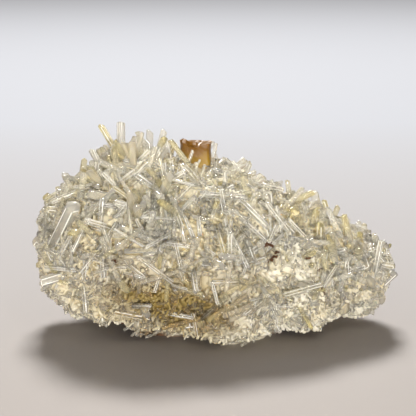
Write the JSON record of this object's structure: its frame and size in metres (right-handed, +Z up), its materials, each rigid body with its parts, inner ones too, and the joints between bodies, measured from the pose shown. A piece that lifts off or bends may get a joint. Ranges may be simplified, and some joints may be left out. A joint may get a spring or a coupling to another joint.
{
  "type": "mango quartz cluster",
  "caption": "Hand-sized cluster of slender clear quartz prisms criss-crossed on a lumpy milky bed, with one stout golden crystal at the crest; it lies on a small flat spot.",
  "frame": {"origin": "on the table under the middle of the cluster's box", "axes": "+Z up from the flat resting spot, +X along the cluster's length towards its low thin end, -Y the broad front that the picture shows"},
  "size_m": [0.1098, 0.0814, 0.0613],
  "materials": {
    "milky_quartz": "creamy white, granular and slightly translucent, ochre in the low front hollows",
    "clear_quartz": "clear, glassy, smooth faces, some tips tinted olive yellow",
    "golden_quartz": "amber, partly see-through, orange brown at its broken top"
  },
  "bodies": {
    "root": {"matrix": "milky_quartz", "back_crystal_1": "clear_quartz", "back_crystal_2": "clear_quartz", "back_crystal_3": "clear_quartz", "back_crystal_4": "clear_quartz", "crest_crystal_1": "clear_quartz", "crest_crystal_2": "clear_quartz", "crest_crystal_3": "clear_quartz", "crest_crystal_4": "clear_quartz", "crest_crystal_5": "clear_quartz", "crest_crystal_6": "clear_quartz", "crest_crystal_7": "clear_quartz", "front_crystal_1": "clear_quartz", "front_crystal_2": "clear_quartz", "front_crystal_3": "clear_quartz", "front_crystal_4": "clear_quartz", "front_crystal_5": "clear_quartz", "front_crystal_6": "clear_quartz", "front_crystal_7": "clear_quartz", "front_crystal_8": "clear_quartz", "front_crystal_9": "clear_quartz", "left_crystal_1": "clear_quartz", "left_crystal_2": "clear_quartz", "left_crystal_3": "clear_quartz", "left_crystal_4": "clear_quartz", "left_crystal_5": "clear_quartz", "left_crystal_6": "clear_quartz", "left_crystal_7": "clear_quartz", "right_crystal_1": "clear_quartz", "right_crystal_2": "clear_quartz", "right_crystal_3": "clear_quartz", "right_crystal_4": "clear_quartz", "right_crystal_5": "clear_quartz", "right_crystal_6": "clear_quartz", "right_crystal_7": "clear_quartz", "right_crystal_8": "clear_quartz", "golden_crystal": "golden_quartz"}
  },
  "joints": []
}
